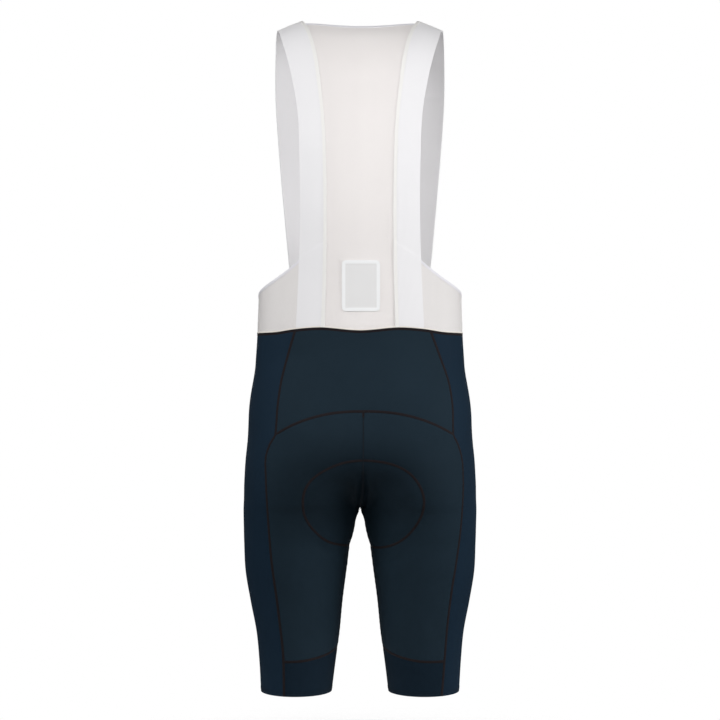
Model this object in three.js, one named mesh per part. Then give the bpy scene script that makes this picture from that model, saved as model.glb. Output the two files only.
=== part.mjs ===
import * as THREE from "three";

// Cycling bib shorts, filled out as on a standing figure. Millimetres, +Z up.
// The back faces -Y and the wearer's left is at -X. The origin lies under the tops of the straps.

// Heights, measured down from the origin
const ARM_LINE = 90; // above it the straps bend over the shoulders
const WAIST = 428.5;
const BOWL_TOP = 592; // the seat starts to close under the figure here
const BOWL_BOTTOM = 655;
const CROTCH = 671;
const HEM = 928;

// Walls of the cloths, and the gaps between the pieces
const KNIT = 1.4;
const SHEER = 1.0;
const ELASTIC = 1.6;
const PATCH = 1.0;
const PAD = 3.0;
const SEAM_GAP = 0.3;
const LINER_GAP = 2.0;
const BINDING_WIDTH = 4.2;
const NECK_BINDING_WIDTH = 5.25;
const BINDING_LIFT = 0.4; // straps and tapes stand this far outside the mesh

// The centre seam stands off the middle, because the shorts sit slightly turned on the figure
const CENTRE_TURN = 4.5;
const PAD_TURN = 0.045;

const clamp = (value, low, high) => Math.min(Math.max(value, low), high);
const mix = (a, b, t) => a + (b - a) * t;

// A short table read smoothly: the first column is the key, and each row is one section
function section(columns, rows) {
  const slope = (row, column) => {
    const before = rows[Math.max(row - 1, 0)];
    const after = rows[Math.min(row + 1, rows.length - 1)];
    return (after[column] - before[column]) / (after[0] - before[0]);
  };
  return (key) => {
    const at = clamp(key, rows[0][0], rows.at(-1)[0]);
    let row = 0;
    while (row < rows.length - 2 && at > rows[row + 1][0]) row += 1;
    const span = rows[row + 1][0] - rows[row][0];
    const t = (at - rows[row][0]) / span;
    const value = {};
    columns.forEach((name, column) => {
      const [from, to] = [rows[row][column], rows[row + 1][column]];
      const ease = t * t * (3 - 2 * t);
      const lift = slope(row, column) * span * t * (1 - t) ** 2;
      const fall = slope(row + 1, column) * span * t * t * (1 - t);
      value[name] = mix(from, to, ease) + lift - fall;
    });
    return value;
  };
}

// The figure's torso: half width, and depth behind and before the middle
const torso = section(["down", "width", "back", "front"], [
  [90, 150, 96, 74],
  [170, 150, 102, 92],
  [250, 147, 97, 98],
  [340, 141.5, 87, 97],
  [430, 143.5, 86, 93],
  [487, 146.5, 93, 94],
  [540, 144.5, 99, 94],
  [592, 122, 102, 90],
  [670, 105, 100, 88],
]);
const TORSO_ROUND = 2.3;

// The figure's legs, with the seat above them: middle, half width, depths, and the soft join between them
const legs = section(["down", "middle", "half", "back", "front", "join"], [
  [430, 62, 56, 60, 60, 4],
  [487, 70, 70, 84, 78, 14],
  [540, 74.5, 74.5, 103, 86, 28],
  [592, 80.5, 78.2, 112, 90, 34],
  [634, 83, 78.8, 113, 92, 36],
  [660, 84.3, 78, 109, 92, 32],
  [674, 85.2, 77.6, 103, 91, 26],
  [697, 85.6, 76.8, 96, 90, 14],
  [718, 87.6, 74.3, 89, 88, 8],
  [760, 89.4, 70.6, 80, 82, 6],
  [802, 88.7, 64.3, 71, 75, 6],
  [844, 86.8, 58.2, 64, 68, 6],
  [886, 87.6, 53.4, 59, 61, 6],
  [928, 89, 49.6, 55, 55, 6],
]);

// Two forms joined with a soft hollow between them
function joined(a, b, join) {
  const near = Math.max(join - Math.abs(a - b), 0) / join;
  return Math.min(a, b) - (near * near * join) / 4;
}

// Below zero inside the figure, and zero on its skin
function figure(x, y, z) {
  const leg = legs(-z);
  const body = torso(-z);
  const legAt = (middle) => {
    const depth = y < 0 ? leg.back : leg.front;
    return (Math.hypot((x - middle) / leg.half, y / depth) - 1) * leg.half;
  };
  const depth = y < 0 ? body.back : body.front;
  const flat = (Math.abs(x) / body.width) ** TORSO_ROUND + (Math.abs(y) / depth) ** TORSO_ROUND;
  const sunk = Math.max(-z - BOWL_TOP, 0) / (BOWL_BOTTOM - BOWL_TOP);
  const bowl = (Math.hypot(flat ** (1 / TORSO_ROUND), sunk) - 1) * depth;
  return joined(joined(legAt(leg.middle), legAt(-leg.middle), leg.join), bowl, leg.join);
}

// The skin along a ray from a point inside the figure
const RAY = 260; // longer than from any such point to the skin
const HALVINGS = 26;
function skinAlong(from, way, reach = RAY) {
  let [inside, outside] = [0, reach];
  for (let step = 0; step < HALVINGS; step += 1) {
    const middle = (inside + outside) / 2;
    const value = figure(from.x + way.x * middle, from.y + way.y * middle, from.z + way.z * middle);
    if (value < 0) inside = middle;
    else outside = middle;
  }
  return from.clone().addScaledVector(way, inside);
}

// The way straight out of the skin at a point on it
function outOfSkin({ x, y, z }) {
  const step = 0.5;
  return new THREE.Vector3(
    figure(x + step, y, z) - figure(x - step, y, z),
    figure(x, y + step, z) - figure(x, y - step, z),
    figure(x, y, z + step) - figure(x, y, z - step),
  ).normalize();
}

// Each chart places a skin point by its turn from straight back, outwards, and its height.
// Side -1 and 1 turn about the left and right leg's middle, and side 0 about the figure's.
const spineX = (side, z) => side * legs(-z).middle;

// Above the crotch a leg's chart may reach past the middle, by this share of the height above it
const PAST_MIDDLE = 0.35;
const FACES_MIDDLE = 0.05;

function onSkin(side, [turn, z]) {
  const from = new THREE.Vector3(spineX(side, z), 0, z);
  const way = new THREE.Vector3((side || 1) * Math.sin(turn), -Math.cos(turn), 0);
  const past = PAST_MIDDLE * Math.max(z + CROTCH, 0);
  const inwards = -Math.sin(turn);
  const reach = side && inwards > FACES_MIDDLE ? (Math.abs(from.x) + past) / inwards : RAY;
  return skinAlong(from, way, Math.min(reach, RAY));
}

function chartOf(side, point, lowest = -Math.PI) {
  const turn = Math.atan2((point.x - spineX(side, point.z)) * (side || 1), -point.y);
  return [turn < lowest ? turn + 2 * Math.PI : turn, point.z];
}

// The skin point at a place across and down, on the back (-1) or the front (1)
function onFace(x, z, face) {
  return skinAlong(new THREE.Vector3(x, 0, z), new THREE.Vector3(0, face, 0));
}

// Seams of the shorts

// The waist seam's height by its distance from the middle of the back
const waistBack = section(["across", "down"], [
  [-52, 421.5],
  [0, 425.5],
  [52, 421.5],
  [87, 423.5],
  [115, 427.5],
  [143, 428.5],
]);
const waistDown = (x, y) => (y < 0 ? waistBack(Math.abs(x)).down : WAIST);

// The seam behind each side panel, by its distance from the middle
const backSeam = section(["down", "left", "right"], [
  [421, 87, 94.5],
  [467, 100.5, 111.5],
  [497, 107.6, 121.5],
  [530, 111.8, 126],
  [567, 114.5, 127],
  [580, 122, 133],
  [598, 127.6, 138.5],
  [626, 127.4, 140.6],
  [660, 126, 140],
  [702, 123.6, 137],
  [746, 120, 131],
  [781, 115.2, 125.6],
  [826, 110, 120.4],
  [869, 105.5, 117],
  [928, 104.3, 112.8],
]);

// The seam before each side panel
const frontSeam = section(["down", "left", "right"], [
  [421, 98, 94],
  [500, 121, 114],
  [593, 134, 127],
  [700, 132, 124],
  [800, 121, 113],
  [928, 108, 101],
]);

const seamPoint = (seam, face, side, down) => {
  const across = side * seam(down)[side < 0 ? "left" : "right"];
  return onFace(across, -down, face);
};

// The arched seam between the yoke and the seat
const ARCH_TOP = 535.5;
const ARCH_END = 567;
const ARCH_POWER = 2.4;
function archPoint(side, t) {
  const end = side * backSeam(ARCH_END)[side < 0 ? "left" : "right"];
  const x = mix(CENTRE_TURN, end, t);
  return onFace(x, -mix(ARCH_TOP, ARCH_END, t ** ARCH_POWER), -1);
}

// The centre seam: down the back or front, then under the figure to the crotch
const RISE_CURVE = 140; // about the length of its curved part
function risePoint(face, top, t) {
  const straight = BOWL_TOP - top;
  const length = t * (straight + RISE_CURVE);
  const lean = -face * CENTRE_TURN;
  if (length < straight) return onFace(lean, -(top + length), face);
  const angle = ((length - straight) / RISE_CURVE) * (Math.PI / 2);
  const from = new THREE.Vector3(lean * Math.cos(angle), 0, -BOWL_TOP);
  return skinAlong(from, new THREE.Vector3(0, face * Math.cos(angle), -Math.sin(angle)));
}

// The seam above each gripper cuff, by its turn round the leg away from straight back, inwards
const cuffSeam = section(["inwards", "down"], [
  [-60, 879.5],
  [-14, 879.5],
  [10, 878],
  [45, 872],
  [80, 866],
  [130, 870],
  [190, 879.5],
  [260, 879.5],
]);
const cuffDown = (turn) => cuffSeam(THREE.MathUtils.radToDeg(-turn)).down;

// Patches: four edges in a chart, filled in between and laid on the skin
function patch(side, { top, bottom, first, last }) {
  const blend = (u, v, k) => {
    const sides = mix(first(v)[k], last(v)[k], u) + mix(top(u)[k], bottom(u)[k], v);
    return sides - mix(mix(top(0)[k], top(1)[k], u), mix(bottom(0)[k], bottom(1)[k], u), v);
  };
  return (u, v) => onSkin(side, [blend(u, v, 0), blend(u, v, 1)]);
}

// A panel whose columns stand closer together beside its centre seam
const CLOSER = 1.45;
const closer = (panel) => (u, v) => panel(u ** CLOSER, v);

// Rows of the grids between the levels where seams meet, so that neighbours share their rows
const YOKE_ROWS = 7;
const SEAT_ROWS = 12;
const THIGH_ROWS = 12;
const CUFF_ROWS = 3;
const THIGH_TOP = 702;
const CUFF_TOP = 879.5;
const LEVELS = [
  { rows: YOKE_ROWS, top: WAIST, bottom: ARCH_END },
  { rows: SEAT_ROWS, top: ARCH_END, bottom: THIGH_TOP },
  { rows: THIGH_ROWS, top: THIGH_TOP, bottom: CUFF_TOP },
  { rows: CUFF_ROWS, top: CUFF_TOP, bottom: HEM },
];

// The height at a way v down a panel that runs over some of the levels
function levelDown(levels, v) {
  let left = v * levels.reduce((sum, level) => sum + level.rows, 0);
  for (const level of levels) {
    if (left <= level.rows || level === levels.at(-1)) {
      return mix(level.top, level.bottom, left / level.rows);
    }
    left -= level.rows;
  }
}

// A leg panel's edge along the centre seam, and then down the inseam
const INSEAM_START = 0.8;
function innerEdge(side, face, top, split, v) {
  const lowest = face > 0 ? 0 : -Math.PI;
  if (v <= split) return chartOf(side, risePoint(face, top, v / split), lowest);
  const start = risePoint(face, top, 1).z - INSEAM_START;
  const turn = face > 0 ? (3 * Math.PI) / 2 : -Math.PI / 2;
  return [turn, mix(start, -cuffDown(-Math.PI / 2), (v - split) / (1 - split))];
}

function seatPanel(side) {
  const bottomTurn = chartOf(side, seamPoint(backSeam, -1, side, CUFF_TOP))[0];
  const split = SEAT_ROWS / (SEAT_ROWS + THIGH_ROWS);
  return patch(side, {
    top: (u) => chartOf(side, archPoint(side, u)),
    bottom: (u) => {
      const turn = mix(-Math.PI / 2, bottomTurn, u);
      return [turn, -cuffDown(turn)];
    },
    first: (v) => innerEdge(side, -1, ARCH_TOP, split, v),
    last: (v) => chartOf(side, seamPoint(backSeam, -1, side, levelDown(LEVELS.slice(1, 3), v))),
  });
}

function frontPanel(side) {
  const bottomTurn = chartOf(side, seamPoint(frontSeam, 1, side, CUFF_TOP))[0];
  const split = (YOKE_ROWS + SEAT_ROWS) / (YOKE_ROWS + SEAT_ROWS + THIGH_ROWS);
  return patch(side, {
    top: (u) => {
      const x = mix(-CENTRE_TURN, side * frontSeam(WAIST)[side < 0 ? "left" : "right"], u);
      return chartOf(side, onFace(x, -WAIST, 1), 0);
    },
    bottom: (u) => {
      const turn = mix((3 * Math.PI) / 2, bottomTurn, u);
      return [turn, -cuffDown(turn - 2 * Math.PI)];
    },
    first: (v) => innerEdge(side, 1, WAIST, split, v),
    last: (v) => chartOf(side, seamPoint(frontSeam, 1, side, levelDown(LEVELS.slice(0, 3), v)), 0),
  });
}

// The seam beside the yoke, stretched up to the waist's own height there, and on down the leg
function yokeSeam(chart, side, down) {
  const waist = waistDown(backSeam(WAIST)[side < 0 ? "left" : "right"], -1);
  const rise = Math.max(ARCH_END - down, 0) / (ARCH_END - WAIST);
  return chartOf(chart, seamPoint(backSeam, -1, side, down - rise * (WAIST - waist)));
}

function sidePanel(side) {
  const backEdge = (v) => yokeSeam(side, side, levelDown(LEVELS, v));
  const frontEdge = (v) => chartOf(side, seamPoint(frontSeam, 1, side, levelDown(LEVELS, v)), 0);
  const turnAt = (edge, u) => mix(backEdge(edge)[0], frontEdge(edge)[0], u);
  return patch(side, {
    top: (u) => {
      const level = onSkin(side, [turnAt(0, u), -WAIST]);
      return [turnAt(0, u), -waistDown(level.x, level.y)];
    },
    bottom: (u) => [turnAt(1, u), -HEM],
    first: backEdge,
    last: frontEdge,
  });
}

function cuffPanel(side) {
  const edgeTurn = (seam, face, v, lowest) => {
    return chartOf(side, seamPoint(seam, face, side, mix(CUFF_TOP, HEM, v)), lowest)[0];
  };
  return (u, v) => {
    const turn = mix(edgeTurn(backSeam, -1, v), edgeTurn(frontSeam, 1, v, 0) - 2 * Math.PI, u);
    return onSkin(side, [turn, -mix(cuffDown(turn), HEM, v)]);
  };
}

function yokePanel() {
  const edge = (side) => (v) => yokeSeam(0, side, mix(WAIST, ARCH_END, v));
  const corner = (side) => onSkin(0, edge(side)(0)).x;
  return patch(0, {
    top: (u) => {
      const x = mix(corner(-1), corner(1), u);
      return chartOf(0, onFace(x, -waistDown(x, -1), -1));
    },
    bottom: (u) => chartOf(0, archPoint(u < 0.5 ? -1 : 1, Math.abs(u * 2 - 1))),
    first: edge(-1),
    last: edge(1),
  });
}

// The seat pad: its edge, by the way along the centre seam from its back end to its front end.
// The edge's turn is from straight back, inwards, in degrees.
const PAD_TOP = 600;
const PAD_FRONT_DROP = 15;
const padEdge = section(["along", "inwards", "down"], [
  [0, 30, 601],
  [0.06, 14, 612],
  [0.14, 6, 630],
  [0.22, 3, 655],
  [0.3, 7, 684],
  [0.38, 22, 708],
  [0.46, 52, 721],
  [0.54, 90, 724],
  [0.62, 122, 716],
  [0.72, 146, 698],
  [0.86, 158, 660],
  [1, 152, 622],
]);
const PAD_SPLIT = 0.54;

function padPanel(u, v) {
  const side = u < 0.5 ? -1 : 1;
  const face = v < PAD_SPLIT ? -1 : 1;
  const onRise = v < PAD_SPLIT ? v / PAD_SPLIT : (1 - v) / (1 - PAD_SPLIT);
  const top = PAD_TOP + (face > 0 ? PAD_FRONT_DROP : 0);
  const [riseTurn, riseZ] = chartOf(side, risePoint(face, top, Math.min(onRise, 1)));
  const inner = riseTurn > 0 ? riseTurn - 2 * Math.PI : riseTurn;
  const edge = padEdge(v);
  const outer = -THREE.MathUtils.degToRad(edge.inwards) - face * side * PAD_TURN;
  const t = Math.abs(u * 2 - 1) ** CLOSER;
  return onSkin(side, [mix(inner, outer, t), mix(riseZ, -edge.down, t)]);
}

// The upper part lies on the torso and over the shoulders

// The shoulders' height by the distance from the middle: level beside the neck, then falling away
const SHOULDER = { top: 9.5, neck: 80, slope: 0.22, bend: 12 };
const shoulderTop = (x) => {
  const out = Math.abs(x) - SHOULDER.neck;
  return SHOULDER.top - SHOULDER.slope * (out + Math.hypot(out, SHOULDER.bend));
};

// Reach runs from the back (below -1), over the shoulder (-1 to 1), down the front (above 1).
// Below the arm line one unit is REACH_STEP down.
const REACH_STEP = 100;
const reachOf = (down) => (down - ARM_LINE) / REACH_STEP + 1;

function onTorso(x, reach) {
  const over = Math.min(Math.abs(reach), 1);
  const angle = ((1 - over) * Math.PI) / 2;
  const below = Math.max(Math.abs(reach) - 1, 0) * REACH_STEP;
  const body = torso(ARM_LINE + below);
  const depth = reach < 0 ? -body.back : body.front;
  const round = (1 - (Math.abs(x) / body.width) ** TORSO_ROUND) ** (1 / TORSO_ROUND);
  const z = -ARM_LINE - below + (shoulderTop(x) + ARM_LINE) * Math.sin(angle);
  return new THREE.Vector3(x, depth * round * Math.cos(angle), z);
}

// Both edges of a strap, from the back waist over the shoulder to the front waist
const strapEdge = section(["reach", "outer", "inner"], [
  [-4.34, 87, 48],
  [-3.6, 83.5, 46],
  [-2.6, 81, 45],
  [-1.8, 82.3, 46.5],
  [-1.4, 84.5, 49],
  [-1, 91, 53.5],
  [-0.75, 99, 58.5],
  [-0.5, 107, 67],
  [-0.25, 112.5, 77],
  [0, 116, 82],
  [0.5, 119.5, 84],
  [1, 120.5, 83.5],
  [1.6, 117.5, 80.5],
  [2.6, 109.5, 72],
  [3.6, 100, 62],
  [4.4, 90, 52],
]);

const NECK_MIDDLE = -0.39;
const NECK_SIDE = -0.27;
const neckReach = (x) => mix(NECK_MIDDLE, NECK_SIDE, (x / strapEdge(NECK_SIDE).inner) ** 2);
const waistReach = (x) => -reachOf(waistDown(x, -1));

const STRAP_MIDDLE = 70; // about where a strap crosses the waist
function strapPanel(side) {
  return (u, v) => {
    const ends = (x) => mix(waistReach(x), reachOf(WAIST), v);
    const guess = strapEdge(ends(STRAP_MIDDLE));
    const reach = ends(mix(guess.inner, guess.outer, u));
    const edge = strapEdge(reach);
    return onTorso(side * mix(edge.inner, edge.outer, u), reach);
  };
}

// The mesh from the waist (lower 0) to the neck (upper 1), between the straps
function meshPoint(u, rise, beyond = 0) {
  const guess = strapEdge(mix(waistReach(0), NECK_MIDDLE, rise)).inner * (2 * u - 1);
  const reach = mix(waistReach(guess), neckReach(guess), rise) + beyond;
  return onTorso(strapEdge(reach).inner * (2 * u - 1), reach);
}
const NECK_TAPE = NECK_BINDING_WIDTH / ((shoulderTop(0) + ARM_LINE) * (Math.PI / 2));
const meshPanel = (u, v) => meshPoint(u, v, -NECK_TAPE * v);
const neckBinding = (u, v) => meshPoint(u, 1, -NECK_TAPE * (1 - v));

// The armhole's height by the turn round the torso from straight back
const armhole = section(["turn", "down"], [
  [46, 327],
  [54, 341],
  [65.5, 357],
  [79, 370],
  [92, 377],
  [108, 380],
  [120, 370],
  [128, 346],
]);
const ARMHOLE_BACK = 328;
const ARMHOLE_FRONT = 346;

function wingPoint(side, u, rise, beyond) {
  const edgeTurn = (reach) => {
    const point = onTorso(strapEdge(reach).outer, reach);
    return Math.atan2(point.x, -point.y);
  };
  const topTurn = mix(edgeTurn(-reachOf(ARMHOLE_BACK)), edgeTurn(reachOf(ARMHOLE_FRONT)), u);
  const top = armhole(THREE.MathUtils.radToDeg(topTurn)).down;
  const hip = onSkin(0, [side * mix(edgeTurn(-reachOf(WAIST)), edgeTurn(reachOf(WAIST)), u), -WAIST]);
  const down = mix(waistDown(hip.x, hip.y), top, rise) - beyond;
  const turn = mix(edgeTurn(-reachOf(down)), edgeTurn(reachOf(down)), u);
  return onSkin(0, [side * turn, -down]);
}
const wingPanel = (side) => (u, v) => wingPoint(side, u, v, -BINDING_WIDTH * v);
const wingBinding = (side) => (u, v) => wingPoint(side, u, 1, -BINDING_WIDTH * (1 - v));

// The patch on the mesh
const LABEL = { left: -24.5, right: 27, top: 331, bottom: 400 };
function labelPanel(u, v) {
  const down = mix(LABEL.bottom, LABEL.top, v);
  return onTorso(mix(LABEL.left, LABEL.right, u), -reachOf(down));
}

// Solids

// A panel's grid of points, with a strip parted from each edge for the seam
function gridOf(panel, columns, rows, onFigure) {
  const step = 1e-3;
  const parted = (u, v) => {
    const du = panel(Math.min(u + step, 1), v).distanceTo(panel(Math.max(u - step, 0), v));
    const dv = panel(u, Math.min(v + step, 1)).distanceTo(panel(u, Math.max(v - step, 0)));
    const inU = (SEAM_GAP / 2) * (step / du);
    const inV = (SEAM_GAP / 2) * (step / dv);
    return [clamp(u, inU, 1 - inU), clamp(v, inV, 1 - inV)];
  };
  const grid = [];
  for (let row = 0; row <= rows; row += 1) {
    for (let column = 0; column <= columns; column += 1) {
      const [u, v] = parted(column / columns, row / rows);
      const point = panel(u, v);
      const across = panel(Math.min(u + step, 1), v).sub(panel(Math.max(u - step, 0), v));
      const along = panel(u, Math.min(v + step, 1)).sub(panel(u, Math.max(v - step, 0)));
      const square = across.cross(along).normalize();
      const out = onFigure ? outOfSkin(point) : square;
      grid.push({ point, square, out });
    }
  }
  return grid;
}

// One closed wall: an outer face, an inner face behind it, and a rim round both
function wallMesh(name, panel, { columns, rows, wall, lift = 0, faces, onFigure, material }) {
  const grid = gridOf(panel, columns, rows, onFigure);
  const middle = grid[Math.floor(rows / 2) * (columns + 1) + Math.floor(columns / 2)];
  const outwards = Math.sign(middle.square.dot(faces));
  const count = grid.length;
  const positions = [];
  for (const depth of [lift, lift - wall]) {
    for (const { point, out } of grid) {
      const side = onFigure ? depth : outwards * depth;
      positions.push(...point.clone().addScaledVector(out, side).toArray());
    }
  }
  const index = [];
  const face = (a, b, c, d) => {
    const ring = outwards > 0 ? [a, b, c, a, c, d] : [a, c, b, a, d, c];
    index.push(...ring);
  };
  const at = (column, row) => row * (columns + 1) + column;
  for (let row = 0; row < rows; row += 1) {
    for (let column = 0; column < columns; column += 1) {
      const ring = [at(column, row), at(column + 1, row), at(column + 1, row + 1), at(column, row + 1)];
      face(...ring);
      face(...ring.reverse().map((corner) => corner + count));
    }
  }
  const rim = [];
  for (let column = 0; column < columns; column += 1) rim.push(at(column, 0));
  for (let row = 0; row < rows; row += 1) rim.push(at(columns, row));
  for (let column = columns; column > 0; column -= 1) rim.push(at(column, rows));
  for (let row = rows; row > 0; row -= 1) rim.push(at(0, row));
  rim.forEach((from, k) => {
    const to = rim[(k + 1) % rim.length];
    face(from, from + count, to + count, to);
  });
  const geometry = new THREE.BufferGeometry();
  geometry.setAttribute("position", new THREE.Float32BufferAttribute(positions, 3));
  geometry.setIndex(index);
  geometry.computeVertexNormals();
  const mesh = new THREE.Mesh(geometry, material);
  mesh.name = name;
  return mesh;
}

const cloth = (color, roughness) => new THREE.MeshStandardMaterial({ color, roughness, metalness: 0 });
const navy = () => cloth("#1c2832", 0.8);
const navySide = () => cloth("#17263a", 0.75);
const navyCuff = () => cloth("#131f2b", 0.85);
const padding = () => cloth("#22262b", 0.9);
const white = () => cloth("#e8e8ea", 0.7);
const whiteMesh = () => cloth("#ebe5e3", 0.85);
const whiteFilm = () => cloth("#eceef0", 0.4);

const BACK = new THREE.Vector3(0, -1, 0);
const FRONT = new THREE.Vector3(0, 1, 0);
const UP = new THREE.Vector3(0, 0, 1);
const DOWN = new THREE.Vector3(0, 0, -1);

const bibShorts = new THREE.Group();
bibShorts.name = "cycling_bib_shorts";

bibShorts.add(
  wallMesh("back_yoke", yokePanel(), { columns: 16, rows: YOKE_ROWS, wall: KNIT, onFigure: true, faces: BACK, material: navy() }),
);

for (const [name, side] of [["left", -1], ["right", 1]]) {
  const out = new THREE.Vector3(side, 0, 0);
  const inwards = new THREE.Vector3(-side, 0, 0);
  bibShorts.add(
    wallMesh(`seat_${name}`, closer(seatPanel(side)), {
      columns: 13, rows: SEAT_ROWS + THIGH_ROWS, wall: KNIT, onFigure: true, faces: BACK, material: navy(),
    }),
    wallMesh(`front_${name}`, closer(frontPanel(side)), {
      columns: 10, rows: YOKE_ROWS + SEAT_ROWS + THIGH_ROWS, wall: KNIT, onFigure: true, faces: FRONT, material: navy(),
    }),
    wallMesh(`side_panel_${name}`, sidePanel(side), {
      columns: 7,
      rows: YOKE_ROWS + SEAT_ROWS + THIGH_ROWS + CUFF_ROWS,
      wall: KNIT,
      onFigure: true,
      faces: out,
      material: navySide(),
    }),
    wallMesh(`cuff_${name}`, cuffPanel(side), {
      columns: 18, rows: CUFF_ROWS, wall: KNIT, onFigure: true, faces: inwards, material: navyCuff(),
    }),
    wallMesh(`strap_${name}`, strapPanel(side), {
      columns: 3, rows: 60, wall: ELASTIC, lift: BINDING_LIFT, faces: UP, material: white(),
    }),
    wallMesh(`wing_${name}`, wingPanel(side), {
      columns: 12, rows: 5, wall: SHEER, faces: out, material: whiteMesh(),
    }),
    wallMesh(`wing_binding_${name}`, wingBinding(side), {
      columns: 12, rows: 1, wall: ELASTIC, lift: BINDING_LIFT, faces: out, material: white(),
    }),
  );
}

bibShorts.add(
  wallMesh("pad", padPanel, {
    columns: 16,
    rows: 22,
    wall: PAD,
    lift: -KNIT - LINER_GAP,
    onFigure: true,
    faces: DOWN,
    material: padding(),
  }),
  wallMesh("back_mesh", meshPanel, {
    columns: 8, rows: 30, wall: SHEER, faces: BACK, material: whiteMesh(),
  }),
  wallMesh("neck_binding", neckBinding, {
    columns: 10, rows: 1, wall: ELASTIC, lift: BINDING_LIFT, faces: BACK, material: white(),
  }),
  wallMesh("back_label", labelPanel, {
    columns: 4, rows: 4, wall: PATCH, lift: SEAM_GAP + PATCH, faces: BACK, material: whiteFilm(),
  }),
);

export default bibShorts;
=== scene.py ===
import math

import bpy
import numpy as np
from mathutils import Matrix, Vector


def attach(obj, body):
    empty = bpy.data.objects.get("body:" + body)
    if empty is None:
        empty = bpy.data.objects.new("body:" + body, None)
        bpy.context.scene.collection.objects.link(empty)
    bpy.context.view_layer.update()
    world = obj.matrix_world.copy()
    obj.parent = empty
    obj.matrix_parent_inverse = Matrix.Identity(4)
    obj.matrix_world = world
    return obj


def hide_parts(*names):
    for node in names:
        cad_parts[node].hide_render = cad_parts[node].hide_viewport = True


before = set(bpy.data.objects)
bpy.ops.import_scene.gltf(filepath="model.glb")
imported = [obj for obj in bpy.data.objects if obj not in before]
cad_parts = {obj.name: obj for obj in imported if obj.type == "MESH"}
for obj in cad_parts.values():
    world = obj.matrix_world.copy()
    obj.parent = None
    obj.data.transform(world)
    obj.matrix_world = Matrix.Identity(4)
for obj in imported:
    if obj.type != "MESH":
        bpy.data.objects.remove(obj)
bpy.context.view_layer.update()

# Back yoke
# The panel across the lower back, from the waist seam down to the arched seam over the seat.
# Dense matt navy stretch knit, cut in one and pulled smooth over the hips.

ARM_LINE = 90  # heights are measured down from the strap tops, in millimetres
WAIST = 428.5
BOWL_TOP = 592
BOWL_BOTTOM = 655
CROTCH = 671
HEM = 928
KNIT = 1.4
CENTRE_TURN = 4.5
TORSO_ROUND = 2.3
RAY = 260  # longer than any way out to the skin
PAST_MIDDLE = 0.35  # how far a leg's rays may cross the middle, for each millimetre above the crotch
FACING = 0.05


def section(rows):
    """A short table read smoothly: the first column is the key, and the rest are its values."""
    rows = np.array(rows, float)
    keys, values = rows[:, 0], rows[:, 1:]
    after = np.minimum(np.arange(len(keys)) + 1, len(keys) - 1)
    before = np.maximum(np.arange(len(keys)) - 1, 0)
    slopes = (values[after] - values[before]) / (keys[after] - keys[before])[:, None]

    def read(key):
        at = np.clip(np.asarray(key, float), keys[0], keys[-1])
        row = np.clip(np.searchsorted(keys, at, side="left") - 1, 0, len(keys) - 2)
        span = keys[row + 1] - keys[row]
        t = (at - keys[row]) / span
        ease = t * t * (3 - 2 * t)
        lift = (span * t * (1 - t) ** 2)[..., None] * slopes[row]
        fall = (span * t * t * (1 - t))[..., None] * slopes[row + 1]
        value = values[row] * (1 - ease)[..., None] + values[row + 1] * ease[..., None] + lift - fall
        return np.moveaxis(value, -1, 0)

    return read


# Columns: down, width, back, front
torso = section([
    [90, 150, 96, 74],
    [170, 150, 102, 92],
    [250, 147, 97, 98],
    [340, 141.5, 87, 97],
    [430, 143.5, 86, 93],
    [487, 146.5, 93, 94],
    [540, 144.5, 99, 94],
    [592, 122, 102, 90],
    [670, 105, 100, 88],
])

# Columns: down, middle, half, back, front, join
legs = section([
    [430, 62, 56, 60, 60, 4],
    [487, 70, 70, 84, 78, 14],
    [540, 74.5, 74.5, 103, 86, 28],
    [592, 80.5, 78.2, 112, 90, 34],
    [634, 83, 78.8, 113, 92, 36],
    [660, 84.3, 78, 109, 92, 32],
    [674, 85.2, 77.6, 103, 91, 26],
    [697, 85.6, 76.8, 96, 90, 14],
    [718, 87.6, 74.3, 89, 88, 8],
    [760, 89.4, 70.6, 80, 82, 6],
    [802, 88.7, 64.3, 71, 75, 6],
    [844, 86.8, 58.2, 64, 68, 6],
    [886, 87.6, 53.4, 59, 61, 6],
    [928, 89, 49.6, 55, 55, 6],
])


def mix(a, b, t):
    return a + (b - a) * t


def points_of(x, y, z):
    return np.stack(np.broadcast_arrays(x, y, z), axis=-1).astype(float)


def joined(a, b, join):
    near = np.maximum(join - np.abs(a - b), 0) / join
    return np.minimum(a, b) - near * near * join / 4


def figure(point):
    """Below zero inside the worn form, and zero on its skin."""
    x, y, z = np.moveaxis(point, -1, 0)
    middle, half, leg_back, leg_front, join = legs(-z)
    width, body_back, body_front = torso(-z)
    leg_depth = np.where(y < 0, leg_back, leg_front)
    depth = np.where(y < 0, body_back, body_front)
    right = (np.hypot((x - middle) / half, y / leg_depth) - 1) * half
    left = (np.hypot((x + middle) / half, y / leg_depth) - 1) * half
    flat = (np.abs(x) / width) ** TORSO_ROUND + (np.abs(y) / depth) ** TORSO_ROUND
    sunk = np.maximum(-z - BOWL_TOP, 0) / (BOWL_BOTTOM - BOWL_TOP)
    bowl = (np.hypot(flat ** (1 / TORSO_ROUND), sunk) - 1) * depth
    return joined(joined(right, left, join), bowl, join)


def skin_along(start, way, reach=RAY):
    start, way = np.broadcast_arrays(start, way)
    inside = np.zeros(start.shape[:-1])
    outside = np.broadcast_to(reach, inside.shape).astype(float)
    for _ in range(24):
        middle = (inside + outside) / 2
        within = figure(start + way * middle[..., None]) < 0
        inside = np.where(within, middle, inside)
        outside = np.where(within, outside, middle)
    return start + way * inside[..., None]


def out_of_skin(point):
    """The way straight out of the skin."""
    step = 0.5 * np.eye(3)
    slope = np.stack([figure(point + s) - figure(point - s) for s in step], axis=-1)
    return slope / np.linalg.norm(slope, axis=-1, keepdims=True)


def spine_x(side, z):
    return side * legs(-z)[0]


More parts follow.
